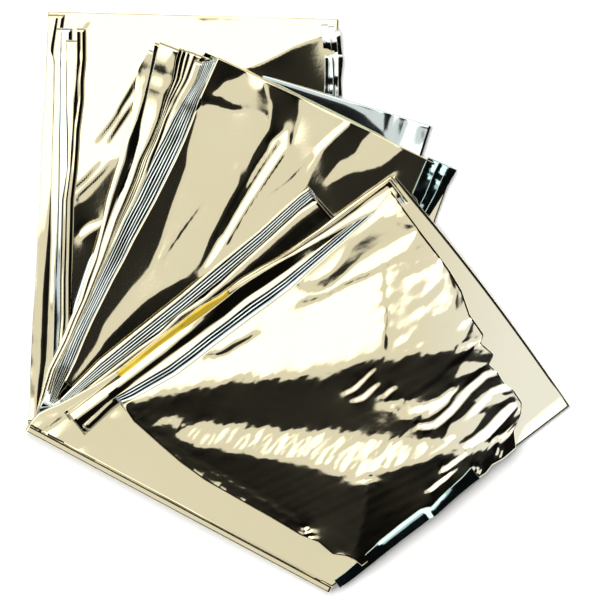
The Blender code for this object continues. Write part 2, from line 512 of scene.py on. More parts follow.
def buildWorld():
    world = bpy.data.worlds.new("studio")
    bpy.context.scene.world = world
    world.use_nodes = True
    tree = world.node_tree
    tree.nodes.clear()
    new, link = tree.nodes.new, tree.links.new
    coords = new("ShaderNodeTexCoord").outputs["Generated"]
    split = new("ShaderNodeSeparateXYZ")
    link(coords, split.inputs["Vector"])

    def fade(value, ends, low, high):
        node = new("ShaderNodeMapRange")
        node.interpolation_type = "SMOOTHSTEP"
        link(value, node.inputs["Value"])
        node.inputs["From Min"].default_value, node.inputs["From Max"].default_value = ends
        for key, side in (("To Min", low), ("To Max", high)):
            if isinstance(side, float):
                node.inputs[key].default_value = side
            else:
                link(side, node.inputs[key])
        return node.outputs["Result"]

    toward = new("ShaderNodeVectorMath")
    toward.operation = "DOT_PRODUCT"
    link(coords, toward.inputs[0])
    toward.inputs[1].default_value = (*along(sky["keyBearing"]), 0)
    up = split.outputs["Z"]
    cloud = new("ShaderNodeTexNoise")
    cloud.inputs["Scale"].default_value, cloud.inputs["Detail"].default_value = sky["rimClouds"]
    link(coords, cloud.inputs["Vector"])
    rim = fade(cloud.outputs["Fac"], sky["rimCloudEnds"], *sky["rim"])
    dark = fade(up, sky["darkFade"], *sky["dark"])
    low = fade(up, sky["rimFade"], dark, rim)
    ceiling = fade(up, sky["ceilingFade"], low, sky["flat"])
    bright = fade(up, sky["wallFoot"], sky["rimKey"], sky["bright"])
    wall = fade(toward.outputs["Value"], sky["wallFade"], ceiling, bright)
    final = new("ShaderNodeMix")
    final.data_type = "FLOAT"
    link(new("ShaderNodeLightPath").outputs["Is Camera Ray"], final.inputs["Factor"])
    link(wall, final.inputs["A"])
    final.inputs["B"].default_value = sky["backdrop"]
    background = new("ShaderNodeBackground")
    link(final.outputs["Result"], background.inputs["Strength"])
    link(background.outputs["Background"], new("ShaderNodeOutputWorld").inputs["Surface"])


def buildFloor():
    bm = bmesh.new()
    bmesh.ops.create_grid(bm, x_segments=1, y_segments=1, size=ground["size"])
    mesh = bpy.data.meshes.new("floor")
    bm.to_mesh(mesh)
    bm.free()
    floor = bpy.data.objects.new("floor", mesh)
    bpy.context.scene.collection.objects.link(floor)
    material = bpy.data.materials.new("paleFloor")
    material.use_nodes = True
    shader = material.node_tree.nodes["Principled BSDF"]
    shader.inputs["Base Color"].default_value = ground["colour"]
    shader.inputs["Roughness"].default_value = ground["rough"]
    shader.inputs["Specular IOR Level"].default_value = ground["shine"]
    mesh.materials.append(material)


def buildLights():
    light = bpy.data.lights.new("overhead", "AREA")
    light.shape = "SQUARE"
    light.size = lamp["size"]
    light.energy = lamp["energy"]
    obj = bpy.data.objects.new("overhead", light)
    obj.location = lamp["place"]
    obj.rotation_euler = Vector(lamp["place"]).to_track_quat("Z", "Y").to_euler()
    obj.visible_glossy = False
    obj.visible_camera = False
    bpy.context.scene.collection.objects.link(obj)


def buildCamera():
    camera = bpy.data.cameras.new("camera")
    camera.sensor_width = view["sensor"]
    camera.lens = view["sensor"] * view["height"] / (view["steps"] * view["step"])
    obj = bpy.data.objects.new("camera", camera)
    obj.location = (*spot(*view["aim"]), view["height"])
    bpy.context.scene.collection.objects.link(obj)
    bpy.context.scene.camera = obj


buildWorld()
buildFloor()
buildLights()
buildCamera()
bpy.context.scene.view_settings.view_transform = "Standard"
print("studio made")


# Bundles of thin plies whose left edges show one beside another. A line: kind, film, and points on
# the plan with the lean of the film to its right, which holds until the next lean. Its kind is
# edge where a ply starts, crease where it only bends, and end after the last; streaks fans out
# several between two lines: film, left, right, count, seed and strength.
bundle = {
    "under": None, "over": None, "stations": 90, "reach": 60, "tuck": 0.006, "wobble": 0.0, "foot": 0.0,
    # the default accent film is the deeper gold of painted inter-reflection
    "wide": 0.165, "accent": paintedInterreflectionGold,
}
# One ply: how its edge rolls over, where it is read across, and what it keeps clear by.
ply = {
    "roll": 0.00012, "rollShare": 0.07, "rolled": ((-1.5, -1.0), (0.4, -0.7), (0.7, -0.3), (0.3, -0.05)),
    "drop": 0.8, "start": 0.4, "across": (0.33, 0.67, 0.97), "tucks": (0.3, 1.0), "apart": 0.00005,
    "overBy": 0.0004, "underBy": 0.0002, "gaps": (0.00008, 0.0014), "evened": 12, "crumple": 0.010,
    "seed": 7, "upColumn": 7,
}
streak = {"lines": (("edge", 0.0, -1.0), ("crease", 0.68, 0.2)), "wander": 0.12, "leans": (0.6, 1.4)}
# slot 3 takes the accent film, a painted reflection colour: the deeper gold of light bounced between layers
# in the front bundle, and the teal film, its own tint plus a painted teal cast, on the crushed edges
films = {"gold": 0, "silver": 1, "deep": 3}


# thin plies, evenly fanned between two lines
def streaks(film, left, right, count, seed, strong):
    rng = np.random.default_rng(seed)
    lines = []
    for i in range(count):
        for kind, part, lean in streak["lines"]:
            share = (i + part) / count
            points = []
            for a, b in zip(left, right):
                wander = rng.uniform(-streak["wander"], streak["wander"]) / count
                x, y = a[0] + (b[0] - a[0]) * (share + wander), a[1] + (b[1] - a[1]) * share
                points.append((x, y, lean * strong * rng.uniform(*streak["leans"])))
            lines.append((kind, film, points))
    return lines


# where a line crosses each distance s along the axis, how it leans there, and where it runs
def lineAt(points, axis, side, s):
    places = np.array([spot(*p[:2]) for p in points])
    leans = [0.0]
    for point in points:
        leans.append(point[2] if len(point) > 2 else leans[-1])
    run, across = places @ axis, places @ side
    order = np.argsort(run)
    run, across, lean = run[order], across[order], np.array(leans[1:])[order]
    t = np.interp(s, run, across)
    low = s < run[0]
    t[low] = across[0] + (s[low] - run[0]) * (across[1] - across[0]) / (run[1] - run[0])
    high = s > run[-1]
    t[high] = across[-1] + (s[high] - run[-1]) * (across[-1] - across[-2]) / (run[-1] - run[-2])
    return t, np.interp(s, run, lean), run[0], run[-1]


# the lines' crossings and the heights of the folded surface there
def bundleSurface(lines, axis, side, s):
    knots, leans = zip(*(lineAt(points, axis, side, s)[:2] for _, _, points in lines))
    knots, heights = list(knots), [np.zeros(len(s))]
    for k in range(1, len(knots)):
        knots[k] = np.maximum(knots[k], knots[k - 1] + ply["apart"])
        heights.append(heights[-1] + pile["relief"] * leans[k - 1] * (knots[k] - knots[k - 1]))
    return knots, heights


# heights of a sheet's left edge nearest to each place
def edgeHeights(name, x, y):
    gx, gy, gz = (g[:, 0] for g in grids[name])
    return gz[[int(np.argmin((gx - a) ** 2 + (gy - b) ** 2)) for a, b in zip(x, y)]]


# a sheet's heights under each place
def heightsBelow(name, x, y):
    gx, gy, gz = (g[::2, ::2].ravel() for g in grids[name])
    return np.array([gz[np.argmin((gx - a) ** 2 + (gy - b) ** 2)] for a, b in zip(x, y)])


# the lowest ply's heights along the bundle, and how far each ply lies over the one before
def bundleBase(v, lines, axis, side, reach):
    knots, heights = bundleSurface(lines, axis, side, reach)
    plies = sum(kind == "edge" for kind, _, _ in lines)

    def places(t):
        return axis[0] * reach + side[0] * t, axis[1] * reach + side[1] * t

    if v["over"]:
        clear = [heightsBelow(v["over"], *places(t)) - height for t, height in zip(knots, heights)]
        base = np.max(clear, axis=0) + ply["overBy"]
    gap = np.full(len(reach), v["rise"])
    if v["under"]:
        high = edgeHeights(v["under"], *places(knots[-2])) - heights[-2] - ply["underBy"]
        if v["over"]:
            gap = np.clip((high - base) / plies, *ply["gaps"])
        else:
            base = high - v["rise"] * plies
    for _ in range(ply["evened"]):
        base[1:-1] = (base[:-2] + 2 * base[1:-1] + base[2:]) / 4
    return base, gap


# the ply that starts at line i; its bed is places along the bundle and the heights it starts from
def plyMesh(name, v, lines, i, axis, side, bed, seed):
    stations = v["stations"]
    start, stop = lineAt(lines[i][2], axis, side, np.zeros(1))[2:]
    s = np.linspace(start - v["foot"], stop, stations)
    knots, heights = bundleSurface(lines, axis, side, s)
    last = next(j for j in range(i + 1, len(lines)) if lines[j][0] != "crease")
    roll = min(ply["roll"], ply["rollShare"] * float(np.median(knots[last] - knots[i])))
    columns = [(knots[i] - roll * a, b * v["rise"] * ply["drop"]) for a, b in ply["rolled"]]
    samples = [knots[i] + roll * ply["start"]]
    for j in range(i, last):
        samples += [knots[j] + (knots[j + 1] - knots[j]) * share for share in ply["across"]]
    samples += [knots[last] + v["tuck"] * share for share in ply["tucks"]]
    columns += [(t, 0.0) for t in samples]
    mesh = gridMesh(name, stations - 1, len(columns) - 1)
    t = np.stack([c[0] for c in columns], axis=1)
    drop = np.stack([np.full(stations, c[1]) for c in columns], axis=1)
    z = np.empty(t.shape)
    for row in range(stations):
        z[row] = np.interp(t[row], [k[row] for k in knots], [h[row] for h in heights])
    distance = np.repeat(s[:, None], t.shape[1], 1)
    x = axis[0] * distance + side[0] * t
    y = axis[1] * distance + side[1] * t
    if v["wobble"]:
        z = z + facets(x, y, ply["crumple"], v["wobble"], seed)
    writeCoords(mesh, x, y, z + np.interp(s, *bed)[:, None] + drop)
    orient(mesh, stations // 2, ply["upColumn"], len(columns) - 1)
    return mesh


def pleatBundle(name, values):
    v = {**bundle, **values}
    lines = []
    for kind, film, *rest in v["lines"]:
        lines += streaks(film, *rest) if kind == "streaks" else [(kind, film, *rest)]
    axis, side = along(v["bearing"]), along(v["bearing"] + 90)
    ends = [lineAt(points, axis, side, np.zeros(1))[2:] for _, _, points in lines]
    reach = np.linspace(min(e[0] for e in ends) - v["foot"], max(e[1] for e in ends), v["reach"])
    base, gap = bundleBase(v, lines, axis, side, reach)
    parts = {film: [] for film in films}
    starts = [i for i, line in enumerate(lines) if line[0] == "edge"]
    for n, i in enumerate(starts):
        bed = (reach, base + gap * n)
        parts[lines[i][1]].append(plyMesh(f"{name}{n}", v, lines, i, axis, side, bed, ply["seed"] + n))
    bm = bmesh.new()
    for film, slot in films.items():
        for part in parts[film]:
            known = len(bm.faces)
            bm.from_mesh(part)
            bpy.data.meshes.remove(part)
            bm.faces.ensure_lookup_table()
            for face in bm.faces[known:]:
                face.material_index = slot
    joined = bpy.data.meshes.new(name)
    bm.to_mesh(joined)
    bm.free()
    return finishSheet(joined, gold, silver, accent=v["accent"])


# Leans of the plies' films, toward the key side (white) or away from it (black).
white, paler, pale, dim, dark, black = 0.16, 0.10, 0.0, -0.10, -0.20, -0.26

# The middle bundle's fans of streaks, each between two lines.
ridgeLeft = [
    (46, 400), (55, 370), (70, 340), (79, 320), (88, 300), (96, 280), (104, 260), (111, 240), (118, 220),
    (127, 200), (135, 180), (142, 160), (152, 140), (160, 120), (165, 100), (173, 80), (176, 60), (180, 48),
]
ridgeRight = [
    (47.8, 400), (55.8, 370), (70.8, 340), (79.8, 320), (88.8, 300), (96.8, 280), (105.8, 260), (114, 240),
    (123, 220), (133, 200), (142, 178), (149, 158), (157, 140), (164, 120), (173, 100), (184, 80),
    (190, 60), (192, 52),
]
streakLeft = [
    (43, 400), (51, 380), (58, 360), (66, 340), (76, 320), (86, 300), (95, 280), (104, 260), (113, 240),
    (122, 220), (132, 200), (142, 180), (152, 160), (163, 140), (173, 120), (184, 100), (197, 80),
    (203, 62),
]
streakRight = [
    (55, 400), (65, 380), (75, 360), (83, 340), (92, 320), (102, 300), (112, 280), (123, 260), (133, 240),
    (144, 220), (155, 200), (165, 180), (175, 160), (184, 140), (192, 120), (199, 100), (208, 80),
    (217, 60),
]
middleEdges = {
    "bearing": 21, "rise": 0.00013, "under": "middleLeaf", "wobble": 0.006, "foot": 0.007,
    "lines": [
        ("edge", "gold", [(40, 400, white), (48, 370), (62, 340), (70, 320), (79, 300), (85, 280),
            (92, 260, paler), (98, 240, white), (103, 220), (107, 200), (113, 180), (119, 160), (124, 140),
            (130, 120, 0.07), (134, 100, 0.05), (136, 80, paler), (139, 68, pale), (150, 50)]),
        ("edge", "gold", [(41, 400, dark), (50, 370), (65, 340), (73, 320), (82, 300), (88, 280), (96, 260),
            (101, 240), (106, 220), (111, 200), (117, 180), (124, 160), (129, 140, black), (137, 120),
            (143, 100, dark), (148, 80), (152, 60), (155, 42)]),
        ("edge", "gold", [(43, 400, white), (52, 370), (67, 340), (75, 320), (84, 300), (91, 280),
            (98, 260), (103, 240), (110, 220), (118, 200), (127, 180), (134, 160, paler), (139, 140),
            (142, 120, 0.06), (147, 100, 0.05), (151, 80), (156, 60, 0.06), (160, 42, 0.08)]),
        ("crease", "gold", [(45, 400, dark), (54, 370), (69, 340), (77, 320), (86, 300), (94, 280),
            (102, 260), (109, 240), (116, 219), (124, 200), (132, 180), (139, 160), (149, 140), (157, 120),
            (162, 100), (168, 80, dim), (171, 60)]),
        ("streaks", "gold", ridgeLeft, ridgeRight, 3, 6, 0.36),
        ("crease", "gold", [(48, 400, dark), (56, 370), (71, 340), (80, 320), (89, 300), (97, 280),
            (106, 260), (115, 240, pale), (124, 220), (134, 200, dim), (143, 178), (150, 158, dark),
            (158, 140, black), (165, 120, dark), (174, 100, dim), (185, 80, dark), (193, 58, black)]),
        ("edge", "gold", [(49, 400, paler), (57, 370, pale), (72, 340), (81, 320), (90, 300),
            (98, 280, paler), (107, 260), (116, 240, white), (125, 220), (136, 200, 0.03), (145, 180),
            (153, 160, white), (161, 140), (168, 120, 0.05), (177, 100, 0.03), (188, 80, -0.03),
            (195, 60)]),
        ("streaks", "silver", streakLeft, streakRight, 7, 3, 0.34),
        ("edge", "gold", [(x, y, -0.4) for x, y in streakRight]),
        ("end", "gold", [(x + 22, y) for x, y in streakRight]),
    ],
}

rearEdges = {
    "bearing": 2, "rise": 0.00015, "over": "rearLeaf", "tuck": 0.003, "wobble": 0.01,
    "lines": [
        ("edge", "gold", [(28, 424, white), (30, 400, paler), (31, 360, 0.05), (33, 320, 0.04),
            (36, 280, 0.03), (38, 240, 0.02), (40, 200, 0.03), (41, 180, 0.05), (42, 140), (45, 100, 0.03),
            (47, 60, paler), (48, 30, white), (48, 14)]),
        ("crease", "gold", [(35, 420, dark), (36, 400), (40, 360), (41, 320), (43, 280), (47, 240),
            (50, 200), (51, 185, dim), (52, 140), (53, 100), (53.5, 62), (50, 50, black), (54, 28)]),
        ("edge", "gold", [(40, 420, white), (41, 400, paler), (47, 360, 0.03), (49, 320, 0.05),
            (51, 280, white), (52, 240), (51.5, 190), (53, 140), (54.5, 100, paler), (55, 60),
            (54, 50, white), (57, 28)]),
        ("edge", "silver", [(43, 420, dark), (44, 400), (53, 360), (54, 320), (54.5, 280, dim),
            (57, 240, dark), (58.5, 190), (59, 140), (60, 100, dim), (60, 60), (61, 28)]),
        ("crease", "silver", [(44, 420, white), (45, 400), (55, 360, dim), (57, 320), (58, 280, pale),
            (58.5, 240, white), (60, 190), (60.5, 140), (61.5, 100), (62, 60), (62.5, 28)]),
        ("edge", "gold", [(45, 420, dark), (46, 400), (57, 360, black), (60, 320), (60, 280, dark),
            (61, 240), (62, 200), (67, 170, dim), (67, 140, dark), (66, 100, dim), (66, 60), (66, 40)]),
        ("crease", "gold", [(46, 420, white), (47, 400), (58, 360), (61.5, 320), (62, 280), (63, 240, pale),
            (64, 200, 0.04), (68.5, 170, white), (68.5, 140, 0.04), (67.5, 100), (67, 60, 0.09), (67, 40)]),
        ("edge", "gold", [(47, 420, dark), (48, 400), (60, 360), (63.5, 320), (63.5, 280), (65, 240),
            (66, 200), (70, 170), (71, 150, black), (72.5, 130, dark), (74, 100, black), (76, 80, dark),
            (77, 60, black), (77, 28)]),
        ("end", "gold", [(49, 420), (50, 400), (63, 360), (66, 320), (66, 280), (67, 240), (68, 200),
            (71.5, 170), (73, 150), (74, 130), (78, 100), (78, 80), (80, 60), (80, 28)]),
    ],
}

narrowLeft = [
    (60.5, 401), (100, 364), (140, 331), (180, 299), (220, 265), (260, 232), (300, 196), (310, 189),
]
narrowRight = [
    (63, 404), (103, 374), (143, 343), (183, 311), (222, 279), (262, 244), (300, 208), (314, 196),
]
narrowEdges = {
    "bearing": 49, "rise": 0.00012, "over": "narrowLeaf", "tuck": 0.003, "wobble": 0.015,
    "lines": [
        ("edge", "gold", [(60, 400, white), (100, 360), (140, 328), (160, 312, 0.08), (180, 296),
            (200, 279, 0.06), (220, 262), (240, 246, 0.05), (260, 230), (280, 211), (300, 194, 0.07),
            (309, 187, 0.1)]),
        ("streaks", "silver", narrowLeft, narrowRight, 4, 8, 0.36),
        ("edge", "gold", [(63, 405, black), (100, 375), (140, 344), (160, 330), (180, 311), (200, 296),
            (220, 280), (240, 262), (260, 244), (280, 226), (300, 208, dark), (314, 197)]),
        ("crease", "gold", [(64, 407, white), (100, 378), (140, 347), (160, 333), (180, 314), (200, 300),
            (220, 284), (240, 265), (260, 247), (280, 229), (300, 211), (316, 200)]),
        ("crease", "gold", [(65, 409, dark), (100, 380), (140, 349), (160, 335), (180, 316), (200, 303),
            (220, 287), (240, 268), (260, 250), (280, 232), (300, 214), (318, 203)]),
        ("end", "gold", [(69, 412), (104, 384), (144, 353), (164, 340), (184, 322), (206, 309), (228, 296),
            (255, 283), (276, 268), (296, 252), (316, 235), (332, 222)]),
    ],
}

frontLeft = [
    (115, 397), (129, 389), (168, 366), (188, 351), (208, 335), (228, 320), (248, 304), (266, 292),
    (284, 279), (304, 263), (323, 247), (338, 234), (369, 209), (391, 187),
]
frontRight = [
    (119, 402), (134, 396), (174, 373), (194, 358), (213, 343), (233, 328), (253, 313), (271, 300),
    (288, 287), (307, 270), (326, 254), (341, 241), (371, 215), (391, 190),
]
frontFanLeft = [
    (117, 372), (200, 306.4), (270, 263), (290, 250.5), (320, 230.5), (335, 219.5), (365, 197), (391, 178),
]
frontFanRight = [
    (117, 372.6), (200, 307), (270, 265), (290, 254.5), (320, 235), (336, 224), (366, 201), (391, 181),
]
frontEdges = {
    "bearing": 52, "rise": 0.0003, "under": "frontPleat", "over": "frontLeaf", "tuck": 0.004,
    "wobble": 0.015,
    "lines": [
        ("edge", "gold", [(64, 412, dim), (92, 392), (115, 373, 0), (160, 336), (180, 322), (200, 306),
            (220, 296, 0.02), (240, 280, 0.05), (260, 268), (280, 257), (300, 243, 0.07), (320, 229, 0.1),
            (335, 217, 0.14), (365, 195), (392, 176, 0.1)]),
        ("streaks", "gold", frontFanLeft, frontFanRight, 3, 9, 0.4),
        # this ply's deeper gold is painted reflection, the colour of light bounced between gold layers
        ("edge", "deep", [(117, 372, 0.0), (155, 342), (175, 327), (195, 311), (215, 297), (228, 290)]),
        ("edge", "gold", [(69, 415, white), (98, 393), (120, 378), (160, 346), (180, 332), (200, 318, dim),
            (220, 303, black), (240, 287), (260, 274), (280, 262), (300, 248, dark), (320, 236),
            (337, 225, paler), (367, 202), (391, 181)]),
        ("crease", "gold", [(76, 419, black), (104, 398, dark), (123, 383), (162, 353), (182, 337, black),
            (202, 322, dark), (222, 308, black), (244, 292), (264, 279), (284, 266), (304, 251, dim),
            (323, 239, dark), (338, 229), (368, 206), (391, 184)]),
        ("edge", "gold", [(83, 425, white), (106, 404), (128, 388), (166, 360), (186, 345), (206, 331),
            (226, 316), (246, 299), (266, 286), (286, 272), (306, 258), (325, 244), (340, 233), (370, 209),
            (391, 187)]),
        ("streaks", "silver", frontLeft, frontRight, 3, 4, 0.3),
        ("edge", "gold", [(120, 403, dark), (135, 398), (176, 375), (196, 360, black), (215, 345),
            (235, 330), (255, 315), (273, 302), (290, 289), (308, 272, dark), (327, 255), (342, 242),
            (371, 216), (391, 191)]),
        ("end", "gold", [(124, 406), (138, 402), (179, 379), (200, 365), (219, 350), (239, 335), (259, 320),
            (277, 306), (294, 292), (310, 275), (329, 258), (344, 245), (373, 219), (392, 194)]),
    ],
}

# Crushed edges: the rear and the middle leaf's far right corners, and the pleat's near right rim.
rearEnd = {
    "bearing": 0, "rise": 0.00015, "over": "rearLeaf", "stations": 30, "tuck": 0.0, "wobble": 0.03,
    "wide": 0.02,
    "lines": [
        ("edge", "silver", [(324, 97, dim), (325, 80, dark), (325, 60), (323, 46, pale), (321, 24)]),
        ("crease", "silver", [(329, 97, white), (329, 80), (329, 60), (327, 46), (324, 24)]),
        ("edge", "silver", [(333, 98, dark), (333, 80), (332, 60), (331, 46, dim), (328, 26, pale)]),
        ("crease", "silver", [(335, 98, paler), (335, 80, white), (334, 60), (333, 46, paler), (331, 26)]),
        ("edge", "silver", [(338, 97, dark), (338, 80), (338, 60), (337, 44), (335, 30, dim)]),
        ("end", "silver", [(342, 97), (341, 80), (343, 60), (341, 46), (340, 30)]),
    ],
}
middleEnd = {
    "bearing": 25, "rise": 0.00015, "over": "middleLeaf", "stations": 30, "tuck": 0.0, "wobble": 0.03,
    # these plies use the teal film: the film's own tint plus a painted teal cast of its reflections
    "wide": 0.02, "accent": tealTintAndReflection,
    "lines": [
        ("edge", "deep", [(406, 211, dark), (414, 190), (424, 166), (428, 157)]),
        ("crease", "deep", [(411, 212, dim), (421, 190, black), (431, 168, white), (435, 160)]),
        ("edge", "deep", [(415, 214, white), (425, 195, dark), (434, 172), (439, 162)]),
        ("crease", "deep", [(419, 215, dark), (430, 196, black), (438, 174, white), (443, 164)]),
        ("edge", "deep", [(424, 214, black), (434, 196, dark), (443, 176), (448, 166)]),
        ("end", "deep", [(432, 212), (442, 196), (452, 178), (457, 170)]),
    ],
}
frontRim = {
    "bearing": 52, "rise": 0.00015, "over": "frontPleat", "tuck": 0.0, "wobble": 0.02,
    # these plies use the teal film: the film's own tint plus a painted teal cast of its reflections
    "wide": 0.01, "accent": tealTintAndReflection,
    "lines": [
        ("edge", "deep", [(334, 580, dark), (345, 572), (360, 559), (374, 546.5), (379, 541, white),
            (400, 524), (420, 509), (427, 507), (431, 507), (440, 497), (451, 487, dim), (462, 477, dark),
            (471, 467)]),
        ("crease", "deep", [(336, 582, dark), (347, 573.5), (361.5, 561), (376, 549), (381, 544.5),
            (402, 527.5), (422, 512.5), (425, 511, white), (429, 511), (432, 510, dark), (442, 500),
            (452.5, 489), (463, 479), (472, 469)]),
        ("end", "deep", [(339, 588), (351, 580), (366, 568), (381, 556), (386, 552), (402, 539.5),
            (424, 523), (430, 518), (436, 515), (448, 504), (460, 493.5), (471, 484.5), (477, 480)]),
    ],
}

# The leaves. Facets are in tilts; hidden outlines lie under other leaves and rest on their base.
frontLeaf = {
    "columns": 150, "out": 0.0006, "spacing": 0.0011, "above": 5.6, "pull": 0.012,
    "bow": (0.0019, 53),
    # the tall end round the pile: setback and drop, then setback and share of the whole drop
    "wrapFrom": 0.0018,
    "wrapOut": 0.0012,
    "wrap": [
        (0.0029, 0.0), (0.0028, 0.00001), (0.00255, 0.0001), (0.0023, 0.00019), (0.0022, 0.0002),
        (0.00115, 0.0002), (0.0003, 0.0002), (0.00015, 0.00023), (0.00005, 0.0005), (0, 0.0016),
    ],
    "skirt": [(0.0001, 0.4), (0.0002, 0.6), (0.0006, 0.8), (0.0012, 0.93), (0.0024, 1.0)],
    "tail": (0.003, 0.0045, 0.006),
    "edge": [
        (27, 428), (31, 421), (38, 413), (48, 408), (60, 403), (75, 395), (95, 384), (115, 371), (160, 340),
        (300, 242), (391, 178), (396, 174),
    ],
    "hidden": [
        [(400, 230), (480, 370), (505, 400), (480, 450), (345, 545), (200, 462), (150, 420), (120, 395),
            (230, 320)],
    ],
    "tilts": [
        (140, 0.20, 1.5, [(47, 436), (60, 441), (76, 450), (90, 466), (86, 466), (72, 453), (58, 446),
            (45, 441)]),
        (140, 0.20, 1.5, [(36, 430), (50, 424), (62, 414), (64, 417), (52, 427), (38, 433)]),
        (100, 0.20, 1.5, [(102, 404), (108, 403), (112, 410), (108, 416), (103, 412)]),
        (-42, 0.20, 1.5, [(106, 406), (110, 408), (108, 412), (105, 410)]),
        (-42, 0.05, 5, [(514, 450), (522, 426), (546, 406), (562, 394), (572, 404)]),
    ],
}


def buildFrontLeaf():
    v, film = frontLeaf, pile["film"]
    s = panelStations("flapEnd", "frontTop", 6, strip["plain"], 0, v["out"] + film)
    s += bendStations("frontTop", 6, 7, v["out"])
    first = len(s)
    s += panelStations("frontTop", "outer", 7, v["spacing"], v["out"] + film, v["wrapFrom"])
    last = len(s)
    start, run, outward = foldLine("outer", film)
    depth = level(7) - level(0)
    for back, drop in v["wrap"] + [(back, share * depth) for back, share in v["skirt"]]:
        left = start - outward * (back - v["wrapOut"])
        s.append({"left": left, "run": run, "z": level(7) - drop, "settle": (depth - drop) / depth})
    for back in v["tail"]:
        s.append({"left": start - outward * back, "run": run, "z": level(0), "settle": 0.0})
    return finishSheet(stripSheet("frontLeaf", s, v, first, last), gold, silver)


rearLeaf = {
    "start": "outer", "bend": "backTop", "end": "backInner", "level": 0, "setBack": 0.00232, "out": 0.0013,
    "spacing": 0.00097, "columns": 160, "warp": (40, 1.5, 2),
    "hidden": [
        [(150, 250), (205, 100), (300, 130), (440, 170), (360, 600), (70, 440)],
    ],
    "tilts": [
        (-8, 0.088, 16, [(30, 0), (360, 0), (360, 130), (160, 150), (120, 160), (60, 215), (20, 215)]),
        (-10, 0.34, 6, [(200, 22), (340, 24), (336, 36), (322, 35), (300, 42), (275, 56), (252, 66),
            (235, 64)]),
        (118, 0.16, 5, [(63, 214), (72, 210), (88, 195), (104, 175), (121, 156), (140, 160), (110, 260),
            (60, 390), (50, 390), (60, 300)]),
        (156, 0.175, 7, [(250, 67), (275, 57), (300, 43), (322, 36), (334, 42), (336, 140), (296, 132),
            (256, 92)]),
        (-30, 0.22, 2, [(78, 233), (88, 224), (103, 219), (104, 225), (91, 231), (80, 238)]),
        (120, 0.27, 1.3, [(107, 142), (110, 142), (124, 122), (136, 103), (134, 101), (121, 119)]),
        (120, 0.27, 1.3, [(96, 141), (99, 141), (112, 126), (122, 110), (120, 109), (109, 124)]),
        (120, 0.27, 1.3, [(116, 112), (119, 113), (130, 96), (138, 80), (136, 78), (127, 94)]),
        (140, 0.27, 1.3, [(69, 108), (82, 104), (82, 106), (70, 111)]),
        (140, 0.27, 1.3, [(70, 118), (84, 116), (84, 118), (71, 121)]),
        (140, 0.27, 1.3, [(76, 196), (95, 178), (112, 160), (114, 161), (97, 181), (78, 199)]),
        (140, 0.27, 1.3, [(70, 190), (84, 178), (98, 163), (100, 164), (86, 181), (72, 193)]),
        (110, 0.27, 1.3, [(83, 27), (88, 22), (89, 24), (85, 31)]),
    ],
}
silverLeaf = {
    "start": "backInner", "bend": "silverTop", "end": "middleInner", "level": 2, "setBack": 0.0007,
    "out": 0.0007, "sag": 0.0008, "spacing": 0.0016, "columns": 90, "above": 1,
    "hidden": [
        [(200, 60), (290, 115), (460, 190), (360, 600), (30, 440)],
    ],
    "tilts": [
        (-42, 0.09, 8, [(345, 90), (430, 115), (425, 165), (385, 150), (372, 112)]),
        (200, 0.20, 3, [(252, 66), (258, 73), (300, 88), (345, 104), (366, 112), (384, 132), (398, 152),
            (350, 134), (300, 112), (256, 88)]),
        (110, 0.22, 1.5, [(386, 110), (391, 112), (387, 134), (383, 132)]),
        (110, 0.22, 1.5, [(400, 120), (406, 121), (399, 141), (395, 139)]),
        (110, 0.16, 2, [(416, 124), (430, 130), (425, 145), (418, 140)]),
    ],
}
